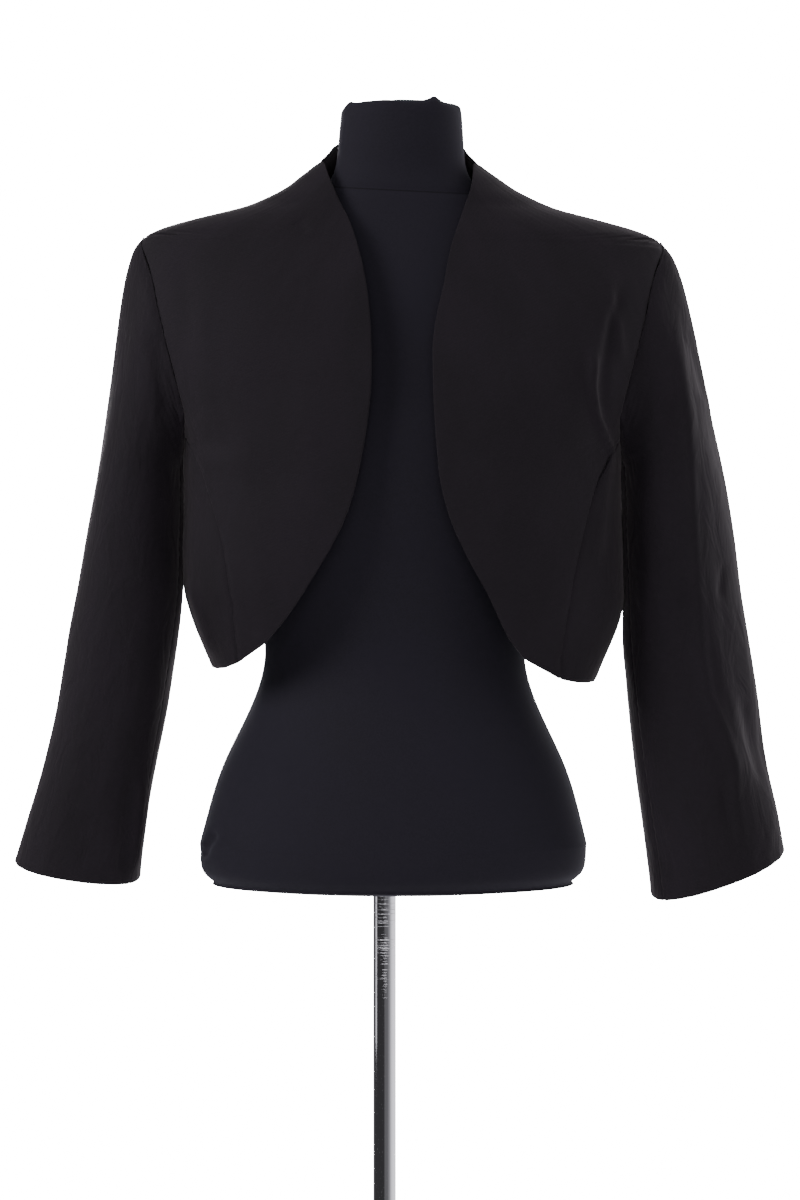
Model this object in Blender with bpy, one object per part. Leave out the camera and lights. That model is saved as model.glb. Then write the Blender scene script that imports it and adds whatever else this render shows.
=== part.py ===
# A cropped open-front blazer worn on a limbless dress form that stands on a pole and a round base plate.
# Metres, +Z up, the front of the blazer faces -Y. The origin is on the floor, on the pole's axis.
import math

import bmesh
import bpy
import numpy as np

# Driving sizes
CLOTH_WALL = 0.0020
SEAM_GAP = 0.0004
SHOULDER_ROLL = 0.0098
SHOULDER_TIP_LEVEL = 1.2876
SHOULDER_BEND_LEVEL = 1.3140
NECK_SEAM_LEVEL = 1.3404
FRONT_TOP_LEVEL = 1.3530
TIP_EASE = 0.0120
COLLAR_MIDDLE = 0.0100
UNDERARM_LEVEL = 1.1030
ARMHOLE_FRONT = 0.0620
ARMHOLE_BACK = 0.0700
ARMHOLE_EGG = 0.25
ARMHOLE_SQUARE = 0.75
SET_OUT_AT_TIP = 0.0014
SET_OUT_UNDER_ARM = 0.0032
SLEEVE_TOP_LEVEL = 1.0852
SLEEVE_SQUARENESS = 2.25
CAP_QUICK_SHARE = {"right": 0.25, "left": 0.20}
CAP_QUICK_REACH = 0.08
FRONT_ARM_SEAM_ANGLE = 152.0
BACK_ARM_SEAM_ANGLE = -105.0
BACK_HEM_LEVEL = 0.9310
TIP_BLUNTING = 0.0014
POLE_RADIUS = 0.0100
SOCKET_RADIUS = 0.0103
SOCKET_DEPTH = 0.0600
BASE_RADIUS = 0.1500
BASE_HEIGHT = 0.0080
BASE_SOCKET_DEPTH = 0.0050
BASE_EDGE_ROUND = 0.0030
FIT_GAP = 0.0003
SLEEVE_SEAM_RADIUS = 0.0400
MEETING_REACH = 0.0300

# Rings of the blazer's body, level by level from below the hem to above the collar
BODY_COLUMNS = ("level", "centre", "half_width", "front_depth", "back_depth", "squareness")
BODY_RINGS = (
    (0.8800, 0.0185, 0.1570, 0.1000, 0.0740, 2.60),
    (0.8986, 0.0185, 0.1640, 0.1040, 0.0760, 2.60),
    (0.9110, 0.0185, 0.1690, 0.1060, 0.0780, 2.60),
    (0.9270, 0.0185, 0.1755, 0.1090, 0.0800, 2.60),
    (0.9444, 0.0185, 0.1830, 0.1120, 0.0820, 2.60),
    (0.9620, 0.0182, 0.1888, 0.1145, 0.0840, 2.60),
    (0.9796, 0.0170, 0.1918, 0.1165, 0.0860, 2.60),
    (1.0060, 0.0160, 0.1920, 0.1185, 0.0890, 2.60),
    (1.0588, 0.0158, 0.1905, 0.1200, 0.0940, 2.60),
    (1.0940, 0.0155, 0.1908, 0.1195, 0.0980, 2.70),
    (1.1204, 0.0155, 0.1930, 0.1180, 0.1010, 2.75),
    (1.1468, 0.0155, 0.2055, 0.1140, 0.1030, 2.75),
    (1.1688, 0.0155, 0.2154, 0.1100, 0.1040, 2.75),
    (1.1908, 0.0155, 0.2252, 0.1040, 0.1030, 2.70),
    (1.2198, 0.0155, 0.2350, 0.0940, 0.0990, 2.60),
    (1.2348, 0.0155, 0.2380, 0.0880, 0.0960, 2.50),
    (1.2612, 0.0155, 0.2388, 0.0760, 0.0880, 2.35),
    (1.2788, 0.0155, 0.2335, 0.0670, 0.0800, 2.30),
    (1.2876, 0.0155, 0.2250, 0.0630, 0.0760, 2.30),
    (1.2964, 0.0154, 0.2040, 0.0580, 0.0720, 2.30),
    (1.3052, 0.0152, 0.1715, 0.0535, 0.0700, 2.25),
    (1.3140, 0.0149, 0.1375, 0.0500, 0.0690, 2.20),
    (1.3228, 0.0145, 0.1165, 0.0480, 0.0690, 2.20),
    (1.3316, 0.0140, 0.0998, 0.0450, 0.0690, 2.20),
    (1.3404, 0.0132, 0.0880, 0.0410, 0.0690, 2.20),
    (1.3492, 0.0125, 0.0760, 0.0360, 0.0690, 2.20),
    (1.3571, 0.0123, 0.0670, 0.0320, 0.0690, 2.20),
    (1.3668, 0.0123, 0.0612, 0.0300, 0.0690, 2.20),
    (1.3800, 0.0125, 0.0598, 0.0300, 0.0680, 2.20),
    (1.3920, 0.0128, 0.0590, 0.0300, 0.0670, 2.20),
)

# Front edge of each front, from its meeting with the side seam at the hem up to the collar
EDGE_COLUMNS = ("level", "out")
EDGE_RIGHT = (
    (0.9165, 0.1431),
    (0.9228, 0.1314),
    (0.9350, 0.1173),
    (0.9572, 0.0991),
    (0.9784, 0.0833),
    (1.0037, 0.0669),
    (1.0306, 0.0521),
    (1.0574, 0.0423),
    (1.0859, 0.0354),
    (1.1212, 0.0295),
    (1.1602, 0.0262),
    (1.1851, 0.0263),
    (1.2244, 0.0289),
    (1.2611, 0.0351),
    (1.2940, 0.0447),
    (1.3256, 0.0577),
    (1.3550, 0.0661),
)
EDGE_LEFT = (
    (0.9050, 0.1323),
    (0.9118, 0.1155),
    (0.9211, 0.1016),
    (0.9296, 0.0938),
    (0.9489, 0.0817),
    (0.9715, 0.0726),
    (0.9965, 0.0600),
    (1.0215, 0.0473),
    (1.0465, 0.0377),
    (1.0698, 0.0322),
    (1.1024, 0.0291),
    (1.1412, 0.0266),
    (1.1856, 0.0259),
    (1.2074, 0.0285),
    (1.2429, 0.0364),
    (1.2692, 0.0408),
    (1.3007, 0.0508),
    (1.3379, 0.0635),
    (1.3550, 0.0661),
)

# Seams between the front and the side panel, and between the side panel and the back
SIDE_SEAM_COLUMNS = ("level", "forward_right", "forward_left", "backward")
SIDE_SEAMS = (
    (0.8900, 0.0640, 0.0720, 0.0500),
    (0.9050, 0.0690, 0.0773, 0.0540),
    (0.9165, 0.0735, 0.0818, 0.0560),
    (0.9462, 0.0830, 0.0895, 0.0620),
    (0.9733, 0.0884, 0.0922, 0.0660),
    (0.9988, 0.0887, 0.0912, 0.0680),
    (1.0200, 0.0870, 0.0885, 0.0690),
    (1.0456, 0.0812, 0.0840, 0.0680),
    (1.0688, 0.0740, 0.0772, 0.0660),
    (1.0933, 0.0640, 0.0655, 0.0600),
    (1.1118, 0.0401, 0.0401, 0.0453),
    (1.1300, 0.0150, 0.0150, 0.0200),
)

# Hem of the side panels from the front seam to the back seam
SIDE_HEM_COLUMNS = ("share", "right_level", "left_level")
SIDE_HEM = (
    (0.00, 0.9165, 0.9050),
    (0.15, 0.9112, 0.9019),
    (0.30, 0.9106, 0.9016),
    (0.60, 0.9180, 0.9100),
    (1.00, 0.9310, 0.9310),
)

# Top edge of the collar from the shoulder seam to the middle of the back
COLLAR_COLUMNS = ("angle", "level")
COLLAR_TOP = (
    (90.0, 1.3556),
    (100.0, 1.3640),
    (115.0, 1.3740),
    (140.0, 1.3820),
    (180.0, 1.3850),
)

# Rings of each sleeve from just below the armhole to the cuff
SLEEVE_COLUMNS = ("level", "centre", "half_width", "half_depth", "middle")
SLEEVE_RIGHT = (
    (1.0852, -0.2149, 0.0367, 0.0660, 0.0030),
    (1.0324, -0.2190, 0.0412, 0.0640, 0.0010),
    (0.9796, -0.2234, 0.0451, 0.0600, -0.0030),
    (0.9268, -0.2308, 0.0470, 0.0560, -0.0080),
    (0.8740, -0.2386, 0.0468, 0.0520, -0.0130),
    (0.8212, -0.2498, 0.0472, 0.0480, -0.0170),
    (0.7772, -0.2594, 0.0500, 0.0450, -0.0200),
    (0.7380, -0.2672, 0.0535, 0.0440, -0.0220),
)
SLEEVE_LEFT = (
    (1.0852, 0.2528, 0.0438, 0.0660, 0.0030),
    (1.0324, 0.2577, 0.0473, 0.0640, 0.0010),
    (0.9796, 0.2613, 0.0496, 0.0600, -0.0030),
    (0.9268, 0.2651, 0.0535, 0.0560, -0.0080),
    (0.8740, 0.2707, 0.0552, 0.0520, -0.0130),
    (0.8212, 0.2768, 0.0552, 0.0480, -0.0170),
    (0.7772, 0.2842, 0.0562, 0.0450, -0.0200),
    (0.7355, 0.2902, 0.0570, 0.0440, -0.0220),
)
CUFF_TILT = {"right": 0.0078, "left": 0.0200}
CUFF_FRONT_DROP = {"right": 0.0070, "left": 0.0095}

# Largest folds of the sleeves: a ridge is positive, a trough negative
SLEEVE_FOLD_COLUMNS = ("side", "angle", "angle_reach", "level", "level_reach", "height")
SLEEVE_FOLDS = (
    ("left", 70.0, 16.0, 1.0800, 0.1100, 0.0040),
    ("left", 100.0, 20.0, 1.0500, 0.1500, -0.0020),
    ("left", 58.0, 16.0, 0.8600, 0.1000, 0.0035),
    ("left", 15.0, 16.0, 0.9800, 0.1800, 0.0010),
    ("right", 30.0, 20.0, 1.1200, 0.0800, -0.0025),
    ("right", 150.0, 16.0, 0.7900, 0.0600, 0.0025),
)

# Rings of the dress form from the rounded lower edge to the top of the neck
FORM_COLUMNS = ("level", "centre", "half_width", "front_depth", "back_depth")
FORM_RINGS = (
    (0.7210, 0.0070, 0.1420, 0.0870, 0.0910),
    (0.7228, 0.0070, 0.1545, 0.0965, 0.1020),
    (0.7300, 0.0072, 0.1645, 0.1035, 0.1095),
    (0.7400, 0.0075, 0.1690, 0.1070, 0.1135),
    (0.7550, 0.0076, 0.1698, 0.1080, 0.1150),
    (0.7860, 0.0080, 0.1628, 0.1060, 0.1120),
    (0.8212, 0.0082, 0.1522, 0.1010, 0.1040),
    (0.8564, 0.0085, 0.1362, 0.0930, 0.0920),
    (0.8916, 0.0088, 0.1206, 0.0870, 0.0800),
    (0.9250, 0.0090, 0.1140, 0.0850, 0.0720),
    (0.9620, 0.0095, 0.1190, 0.0890, 0.0720),
    (1.0100, 0.0100, 0.1310, 0.0970, 0.0760),
    (1.0600, 0.0108, 0.1450, 0.1040, 0.0820),
    (1.1000, 0.0115, 0.1530, 0.1050, 0.0870),
    (1.1500, 0.0122, 0.1620, 0.0960, 0.0900),
    (1.2000, 0.0130, 0.1720, 0.0820, 0.0880),
    (1.2400, 0.0136, 0.1740, 0.0680, 0.0800),
    (1.2650, 0.0140, 0.1650, 0.0570, 0.0730),
    (1.2850, 0.0142, 0.1420, 0.0500, 0.0660),
    (1.3020, 0.0143, 0.1130, 0.0460, 0.0620),
    (1.3150, 0.0144, 0.0900, 0.0440, 0.0600),
    (1.3280, 0.0144, 0.0720, 0.0420, 0.0590),
    (1.3420, 0.0143, 0.0610, 0.0410, 0.0580),
    (1.3600, 0.0142, 0.0565, 0.0420, 0.0570),
    (1.3800, 0.0148, 0.0550, 0.0440, 0.0560),
    (1.3940, 0.0148, 0.0535, 0.0440, 0.0550),
    (1.4005, 0.0148, 0.0528, 0.0430, 0.0540),
    (1.4040, 0.0148, 0.0490, 0.0390, 0.0500),
)
FORM_SQUARENESS = 2.15

# Grid sizes of the walls
FRONT_COLUMNS = 10
BACK_COLUMNS = 20
OUTER_CROWDING = 1.5
END_CROWDING = 0.55
SIDE_COLUMNS = 8
CORNER_REACH = 1.0 / SIDE_COLUMNS
SIDE_ROWS = 12
ARMHOLE_ROWS = 9
TIP_ROWS = 3
SHOULDER_ROWS = 6
NECK_ROWS = 6
YOKE_ROWS = 9
COLLAR_GRID_COLUMNS = 16
COLLAR_ROWS = 4
UPPER_COLUMNS = 16
UNDER_COLUMNS = 10
ROUND_SIDES = 32
CAP_STEPS = (0.0, 0.03, 0.08, 0.16, 0.28, 0.44, 0.62, 0.80)
ARM_ROWS = 10
FORM_ROWS = 28
FORM_EVEN_FROM = 0.7600
FORM_EVEN_TO = 1.3920
HALVINGS = 40
FINE_STEP = 0.0001
TURN_STEP = 0.001
ALONG_STEP = 0.01


def monotone(levels, sizes):
    """A smooth curve through the rows of a table that never swings past a row."""
    levels = np.asarray(levels, float)
    sizes = np.asarray(sizes, float)
    steps = np.diff(levels)
    slopes = np.diff(sizes) / steps
    tangents = np.empty_like(sizes)
    tangents[0] = slopes[0]
    tangents[-1] = slopes[-1]
    for row in range(1, len(sizes) - 1):
        before = slopes[row - 1]
        after = slopes[row]
        mean = (before * steps[row] + after * steps[row - 1]) / (steps[row] + steps[row - 1])
        steepest = 3.0 * min(abs(before), abs(after))
        tangents[row] = 0.0 if before * after <= 0 else math.copysign(min(abs(mean), steepest), mean)

    def value_at(level):
        level = np.clip(np.asarray(level, float), levels[0], levels[-1])
        row = np.clip(np.searchsorted(levels, level, side="right") - 1, 0, len(steps) - 1)
        share = (level - levels[row]) / steps[row]
        rest = 1.0 - share
        start = (1.0 + 2.0 * share) * rest ** 2 * sizes[row] + share * rest ** 2 * steps[row] * tangents[row]
        finish = share ** 2 * (3.0 - 2.0 * share) * sizes[row + 1]
        return start + finish - share ** 2 * rest * steps[row] * tangents[row + 1]

    return value_at


def curves(columns, rows):
    """One smooth curve per named column, as a function of the table's first column."""
    rows = sorted(rows)
    levels = [row[0] for row in rows]
    return {name: monotone(levels, [row[place] for row in rows])
            for place, name in enumerate(columns) if place > 0}


BODY = curves(BODY_COLUMNS, BODY_RINGS)
EDGE = {"right": curves(EDGE_COLUMNS, EDGE_RIGHT), "left": curves(EDGE_COLUMNS, EDGE_LEFT)}
SEAM = curves(SIDE_SEAM_COLUMNS, SIDE_SEAMS)
HEM = curves(SIDE_HEM_COLUMNS, SIDE_HEM)
COLLAR = curves(COLLAR_COLUMNS, COLLAR_TOP)
SLEEVE = {"right": curves(SLEEVE_COLUMNS, SLEEVE_RIGHT), "left": curves(SLEEVE_COLUMNS, SLEEVE_LEFT)}
FORM = curves(FORM_COLUMNS, FORM_RINGS)
CUFF_LEVEL = {"right": SLEEVE_RIGHT[-1][0], "left": SLEEVE_LEFT[-1][0]}
OUTWARD = {"right": -1.0, "left": 1.0}


def body_radius(angle, level):
    depth = np.where(np.cos(angle) > 0, BODY["front_depth"](level), BODY["back_depth"](level))
    square = BODY["squareness"](level)
    across = np.abs(np.sin(angle)) / BODY["half_width"](level)
    along = np.abs(np.cos(angle)) / depth
    return (across ** square + along ** square) ** (-1.0 / square)


def body_point(angle, level):
    """A point of the blazer's body; the angle is zero at the front centre and grows to the left side."""
    radius = body_radius(angle, level)
    out = radius * np.sin(angle)
    x = BODY["centre"](level) + out
    y = -radius * np.cos(angle)
    z = level - SHOULDER_ROLL * out
    return np.stack(np.broadcast_arrays(x, y, z), axis=-1)


def surface_normals(surface, first, second, first_step, second_step):
    """Unit normals of a surface worked out from small steps along both of its directions."""
    along_first = surface(first + first_step, second) - surface(first - first_step, second)
    along_second = surface(first, second + second_step) - surface(first, second - second_step)
    normals = np.cross(along_first, along_second)
    return normals / np.linalg.norm(normals, axis=-1, keepdims=True)


def body_normals(angle, level):
    normals = surface_normals(body_point, angle, level, FINE_STEP, FINE_STEP)
    outward = np.stack([np.sin(angle), -np.cos(angle), np.zeros_like(angle)], axis=-1)
    flip = np.sign(np.sum(normals * outward, axis=-1, keepdims=True))
    return normals * np.where(flip == 0, 1.0, flip)


def angle_from_out(out, level):
    """The angle of a point of the front that lies a given way out from the middle."""
    square = BODY["squareness"](level)
    share = np.clip(np.abs(out) / BODY["half_width"](level), 0.0, 1.0)
    forward = BODY["front_depth"](level) * (1.0 - share ** square) ** (1.0 / square)
    return np.arctan2(np.abs(out), forward)


def angle_from_depth(depth, level, front):
    """The angle of a point of the side that lies a given way forward or backward of the shoulder line."""
    square = BODY["squareness"](level)
    full = BODY["front_depth"](level) if front else BODY["back_depth"](level)
    share = np.clip(depth / full, 0.0, 1.0)
    out = BODY["half_width"](level) * (1.0 - share ** square) ** (1.0 / square)
    return np.arctan2(out, depth if front else -depth)


def armhole_reach(level, front):
    """How far the armhole runs forward or backward of the shoulder line at a level."""
    middle = 0.5 * (SHOULDER_TIP_LEVEL + UNDERARM_LEVEL)
    half = 0.5 * (SHOULDER_TIP_LEVEL - UNDERARM_LEVEL)
    height = np.clip((np.asarray(level, float) - middle) / half, -1.0, 1.0)
    width = np.sqrt(1.0 - height ** 2)
    shaped = np.where(height < 0, width ** ARMHOLE_SQUARE, width)
    return (ARMHOLE_FRONT if front else ARMHOLE_BACK) * shaped * (1.0 - ARMHOLE_EGG * height)


def seam_meeting(name, front):
    """The level at which a side seam runs into the armhole."""
    low = UNDERARM_LEVEL
    high = UNDERARM_LEVEL + MEETING_REACH
    for _ in range(HALVINGS):
        level = 0.5 * (low + high)
        if SEAM[name](level) > armhole_reach(level, front):
            low = level
        else:
            high = level
    return level


FRONT_MEETING = {side: seam_meeting("forward_" + side, True) for side in ("right", "left")}
BACK_MEETING = seam_meeting("backward", False)


def outer_angle(level, seam_name, meeting):
    """The outer boundary of a front or of the back: side seam, then armhole, then shoulder seam."""
    front = seam_name != "backward"
    seam = SEAM[seam_name](level)
    reach = np.where(level < meeting, seam, armhole_reach(level, front))
    angle = angle_from_depth(reach, level, front)
    return np.where(level >= SHOULDER_TIP_LEVEL, 0.5 * math.pi, angle)


def half_gap(angle, level):
    return 0.5 * SEAM_GAP / body_radius(angle, level)


def mesh_object(name, vertices, faces, material):
    mesh = bpy.data.meshes.new(name)
    mesh.from_pydata([tuple(vertex) for vertex in vertices], [], faces)
    work = bmesh.new()
    work.from_mesh(mesh)
    bmesh.ops.recalc_face_normals(work, faces=work.faces)
    work.to_mesh(mesh)
    work.free()
    mesh.materials.append(material)
    piece = bpy.data.objects.new(name, mesh)
    bpy.context.scene.collection.objects.link(piece)
    for polygon in mesh.polygons:
        polygon.use_smooth = True
    return piece


def cloth_wall(name, points, normals, material):
    """A closed wall of even thickness on a grid of points of a sheet."""
    rows, columns = points.shape[:2]
    outer = points + 0.5 * CLOTH_WALL * normals
    inner = points - 0.5 * CLOTH_WALL * normals
    vertices = np.concatenate([outer.reshape(-1, 3), inner.reshape(-1, 3)])
    back = rows * columns

    def place(row, column):
        return row * columns + column

    faces = []
    for row in range(rows - 1):
        for column in range(columns - 1):
            corners = [place(row, column), place(row, column + 1)]
            corners += [place(row + 1, column + 1), place(row + 1, column)]
            faces.append(corners)
            faces.append([back + corner for corner in reversed(corners)])
    border = [place(0, column) for column in range(columns)]
    border += [place(row, columns - 1) for row in range(1, rows)]
    border += [place(rows - 1, column) for column in range(columns - 2, -1, -1)]
    border += [place(row, 0) for row in range(rows - 2, 0, -1)]
    for here, after in zip(border, border[1:] + border[:1]):
        faces.append([here, back + here, back + after, after])
    return mesh_object(name, vertices, faces, material)


def spread(levels_and_steps):
    """Levels from rows of (start, finish, count), each row leaving its finish to the next."""
    parts = [np.linspace(start, finish, count, endpoint=False) for start, finish, count in levels_and_steps]
    return np.concatenate(parts + [np.array([levels_and_steps[-1][1]])])


def front_panel(side, material):
    """A front with its grown-on collar, row by row from the hem to the neck."""
    bottom = (EDGE_RIGHT if side == "right" else EDGE_LEFT)[0][0]
    meeting = FRONT_MEETING[side]
    levels = spread((
        (bottom, meeting, SIDE_ROWS),
        (meeting, SHOULDER_TIP_LEVEL - TIP_EASE, ARMHOLE_ROWS),
        (SHOULDER_TIP_LEVEL - TIP_EASE, SHOULDER_TIP_LEVEL, TIP_ROWS),
        (SHOULDER_TIP_LEVEL, SHOULDER_BEND_LEVEL, SHOULDER_ROWS),
        (SHOULDER_BEND_LEVEL, FRONT_TOP_LEVEL, NECK_ROWS),
    ))
    levels[0] += TIP_BLUNTING
    inner = angle_from_out(EDGE[side]["out"](levels), levels)
    outer = outer_angle(levels, "forward_" + side, meeting)
    outer = outer - half_gap(outer, levels)
    share = 1.0 - (1.0 - np.linspace(0.0, 1.0, FRONT_COLUMNS + 1)) ** OUTER_CROWDING
    angle = OUTWARD[side] * (inner[:, None] + (outer - inner)[:, None] * share[None, :])
    level = np.repeat(levels[:, None], FRONT_COLUMNS + 1, axis=1)
    return cloth_wall("front_" + side, body_point(angle, level), body_normals(angle, level), material)


def back_panel(material):
    levels = spread((
        (BACK_HEM_LEVEL, BACK_MEETING, SIDE_ROWS),
        (BACK_MEETING, SHOULDER_TIP_LEVEL - TIP_EASE, ARMHOLE_ROWS),
        (SHOULDER_TIP_LEVEL - TIP_EASE, SHOULDER_TIP_LEVEL, TIP_ROWS),
        (SHOULDER_TIP_LEVEL, NECK_SEAM_LEVEL - 0.5 * SEAM_GAP, YOKE_ROWS),
    ))
    outer = outer_angle(levels, "backward", BACK_MEETING)
    outer = outer + half_gap(outer, levels)
    even = np.linspace(0.0, 1.0, BACK_COLUMNS + 1)
    share = even + END_CROWDING * (0.5 - 0.5 * np.cos(math.pi * even) - even)
    angle = outer[:, None] + (2.0 * math.pi - 2.0 * outer)[:, None] * share[None, :]
    level = np.repeat(levels[:, None], BACK_COLUMNS + 1, axis=1)
    return cloth_wall("back", body_point(angle, level), body_normals(angle, level), material)


def side_panel(side, material):
    """A side panel from the hem to the lower part of the armhole."""
    share = np.linspace(0.0, 1.0, SIDE_COLUMNS + 1)
    front_reach = armhole_reach(FRONT_MEETING[side], True)
    back_reach = armhole_reach(BACK_MEETING, False)
    reach = -front_reach + (front_reach + back_reach) * share
    top = np.empty_like(share)
    for place, depth in enumerate(reach):
        low = UNDERARM_LEVEL
        high = max(FRONT_MEETING[side], BACK_MEETING)
        for _ in range(HALVINGS):
            middle = 0.5 * (low + high)
            if armhole_reach(middle, depth < 0) < abs(depth):
                low = middle
            else:
                high = middle
        top[place] = middle
    top_angle = np.where(reach < 0, angle_from_depth(np.abs(reach), top, True),
                         angle_from_depth(np.abs(reach), top, False))
    bottom = HEM[side + "_level"](share)
    rise = np.linspace(0.0, 1.0, SIDE_ROWS + 1)
    level = bottom[None, :] + (top - bottom)[None, :] * rise[:, None]

    def across(levels, shares):
        start = angle_from_depth(SEAM["forward_" + side](levels), levels, True)
        finish = angle_from_depth(SEAM["backward"](levels), levels, False)
        start = start + half_gap(start, levels)
        finish = finish - half_gap(finish, levels)
        return start + (finish - start) * shares

    angle = across(level, share[None, :])
    miss = top_angle - across(top, share)
    inside = np.minimum(1.0, np.minimum(share, 1.0 - share) / CORNER_REACH)
    angle = OUTWARD[side] * (angle + (miss * inside)[None, :] * rise[:, None] ** 3)
    return cloth_wall("side_" + side, body_point(angle, level), body_normals(angle, level), material)


def collar_piece(material):
    """The stand of the collar round the back of the neck."""
    share = np.linspace(0.0, 1.0, COLLAR_GRID_COLUMNS + 1)
    start = 0.5 * math.pi
    start = start + half_gap(np.array(start), NECK_SEAM_LEVEL + COLLAR_MIDDLE)
    angle = start + (2.0 * math.pi - 2.0 * start) * share
    turned = np.degrees(np.where(angle > math.pi, 2.0 * math.pi - angle, angle))
    top = COLLAR["level"](turned)
    bottom = NECK_SEAM_LEVEL + 0.5 * SEAM_GAP
    rise = np.linspace(0.0, 1.0, COLLAR_ROWS + 1)
    level = bottom + (top - bottom)[None, :] * rise[:, None]
    angles = np.repeat(angle[None, :], COLLAR_ROWS + 1, axis=0)
    return cloth_wall("collar", body_point(angles, level), body_normals(angles, level), material)


def armhole_point(turn, side):
    """A point of the armhole; the turn is zero at the shoulder tip, a quarter at the front."""
    middle = 0.5 * (SHOULDER_TIP_LEVEL + UNDERARM_LEVEL)
    half = 0.5 * (SHOULDER_TIP_LEVEL - UNDERARM_LEVEL)
    level = middle + half * np.cos(turn)
    front = np.sin(turn) >= 0
    angle = np.where(front, angle_from_depth(armhole_reach(level, True), level, True),
                     angle_from_depth(armhole_reach(level, False), level, False))
    point = body_point(OUTWARD[side] * angle, level)
    lower = 0.5 * (1.0 - np.cos(turn))
    point[..., 0] += OUTWARD[side] * (SET_OUT_AT_TIP + (SET_OUT_UNDER_ARM - SET_OUT_AT_TIP) * lower)
    return point


def arm_point(turn, level, side):
    """A point of the sleeve below the armhole; the turn is zero on the outside, a quarter at the front."""
    sizes = SLEEVE[side]
    width = sizes["half_width"](level)
    depth = sizes["half_depth"](level)
    across = np.abs(np.cos(turn)) / width
    along = np.abs(np.sin(turn)) / depth
    radius = (across ** SLEEVE_SQUARENESS + along ** SLEEVE_SQUARENESS) ** (-1.0 / SLEEVE_SQUARENESS)
    lift = (SLEEVE_TOP_LEVEL - level) / (SLEEVE_TOP_LEVEL - CUFF_LEVEL[side])
    tilt = CUFF_TILT[side] * lift ** 2 * radius * np.cos(turn) / width
    drop = CUFF_FRONT_DROP[side] * lift ** 2 * radius * np.sin(turn) / depth
    x = sizes["centre"](level) + OUTWARD[side] * radius * np.cos(turn)
    y = sizes["middle"](level) - radius * np.sin(turn)
    return np.stack(np.broadcast_arrays(x, y, level + tilt - drop), axis=-1)


def plain_sleeve_point(turn, along, side):
    """A point of the sleeve; along is 0 to 1 over the cap and 1 to 2 down the arm."""
    start = armhole_point(turn, side)
    finish = arm_point(turn, np.full_like(turn, SLEEVE_TOP_LEVEL), side)
    share = np.clip(along, 0.0, 1.0)
    quick = 1.0 - np.exp(-share / CAP_QUICK_REACH)
    outward = CAP_QUICK_SHARE[side] * quick + (1.0 - CAP_QUICK_SHARE[side]) * share
    blend = np.stack([outward, share, share], axis=-1)
    cap = start + (finish - start) * blend
    level = SLEEVE_TOP_LEVEL + (CUFF_LEVEL[side] - SLEEVE_TOP_LEVEL) * np.clip(along - 1.0, 0.0, 1.0)
    arm = arm_point(turn, level, side)
    return np.where((along <= 1.0)[..., None], cap, arm)


def sleeve_piece(part, side, material):
    start = math.radians(BACK_ARM_SEAM_ANGLE)
    finish = math.radians(FRONT_ARM_SEAM_ANGLE)
    columns = UPPER_COLUMNS
    if part == "under":
        start, finish = finish, start + 2.0 * math.pi
        columns = UNDER_COLUMNS
    gap = 0.5 * SEAM_GAP / SLEEVE_SEAM_RADIUS
    turns = np.linspace(start + gap, finish - gap, columns + 1)
    alongs = np.concatenate([np.array(CAP_STEPS), np.linspace(1.0, 2.0, ARM_ROWS + 1)])
    turn, along = np.meshgrid(turns, alongs)

    def surface(first, second):
        return plain_sleeve_point(first, second, side)

    points = surface(turn, along)
    before = surface(turn, np.maximum(along - ALONG_STEP, 0.0))
    forward = surface(turn, np.minimum(along + ALONG_STEP, 2.0)) - before
    around = surface(turn + TURN_STEP, along) - surface(turn - TURN_STEP, along)
    normals = np.cross(around, forward)
    normals /= np.linalg.norm(normals, axis=-1, keepdims=True)
    centre = np.stack([SLEEVE[side]["centre"](points[..., 2]), SLEEVE[side]["middle"](points[..., 2]),
                       points[..., 2]], axis=-1)
    if np.sum(normals * (points - centre)) < 0:
        normals = -normals
    fold = np.zeros_like(turn)
    for row in SLEEVE_FOLDS:
        sizes = dict(zip(SLEEVE_FOLD_COLUMNS, row))
        if sizes["side"] == side:
            away = np.degrees(turn) - sizes["angle"]
            away = (away + 180.0) % 360.0 - 180.0
            high = (points[..., 2] - sizes["level"]) / sizes["level_reach"]
            fold += sizes["height"] * np.exp(-(away / sizes["angle_reach"]) ** 2 - high ** 2)
    points = points + normals * fold[..., None]
    return cloth_wall("sleeve_" + part + "_" + side, points, normals, material)


def ring_faces(rings, sides):
    """Quads between rings of points that follow one another."""
    faces = []
    for ring in range(rings - 1):
        for place in range(sides):
            after = (place + 1) % sides
            low = ring * sides
            high = low + sides
            faces.append([low + place, low + after, high + after, high + place])
    return faces


def round_ring(centre_x, radius, level):
    turn = np.linspace(0.0, 2.0 * math.pi, ROUND_SIDES, endpoint=False)
    x = centre_x + radius * np.sin(turn)
    return np.stack([x, -radius * np.cos(turn), np.full_like(turn, level)], axis=-1)


def form_ring(level):
    turn = np.linspace(0.0, 2.0 * math.pi, ROUND_SIDES, endpoint=False)
    depth = np.where(np.cos(turn) > 0, FORM["front_depth"](level), FORM["back_depth"](level))
    across = np.abs(np.sin(turn)) / FORM["half_width"](level)
    along = np.abs(np.cos(turn)) / depth
    radius = (across ** FORM_SQUARENESS + along ** FORM_SQUARENESS) ** (-1.0 / FORM_SQUARENESS)
    x = FORM["centre"](level) + radius * np.sin(turn)
    return np.stack([x, -radius * np.cos(turn), np.full_like(turn, level)], axis=-1)


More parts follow.
